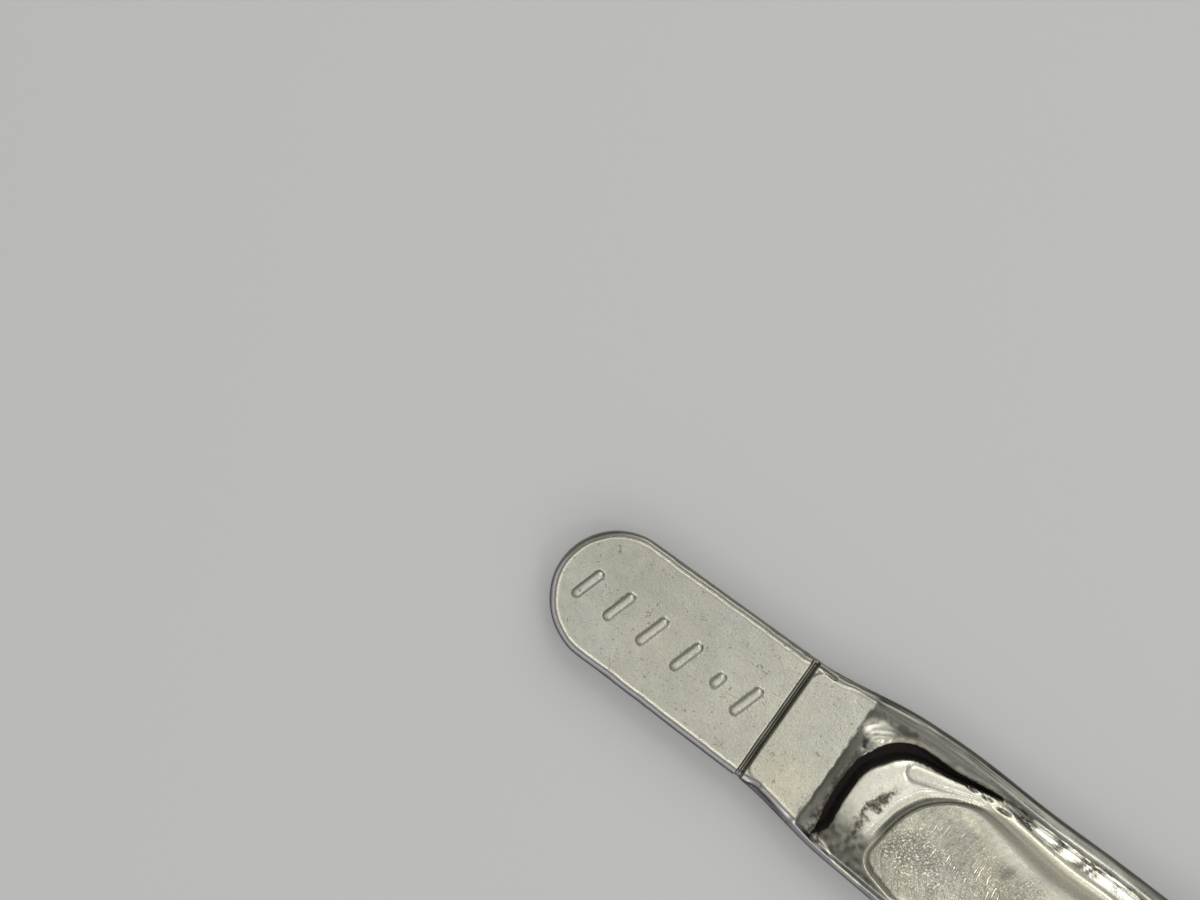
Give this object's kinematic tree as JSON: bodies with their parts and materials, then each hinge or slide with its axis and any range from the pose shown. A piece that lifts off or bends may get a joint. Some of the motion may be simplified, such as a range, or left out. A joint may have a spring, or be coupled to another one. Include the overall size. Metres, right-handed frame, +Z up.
{
  "type": "cast tin bar ingot",
  "caption": "Slender cast tin bar ingot with a flat round-ended tab, a notched pad and an open-poured body with a raised wavy rim and sunken trough.",
  "frame": {"origin": "centre of the overall box at the bar's flat underside", "axes": "+X along the bar from the tab to the rear end, +Y across it, +Z up from the underside to the poured top"},
  "size_m": [0.33, 0.0246, 0.007],
  "materials": {
    "cast_tin": "as-cast tin: satin warm grey faces, glossy darker slopes and rims, stained in places"
  },
  "bodies": {
    "root": {"tin_bar": "cast_tin"}
  },
  "joints": []
}
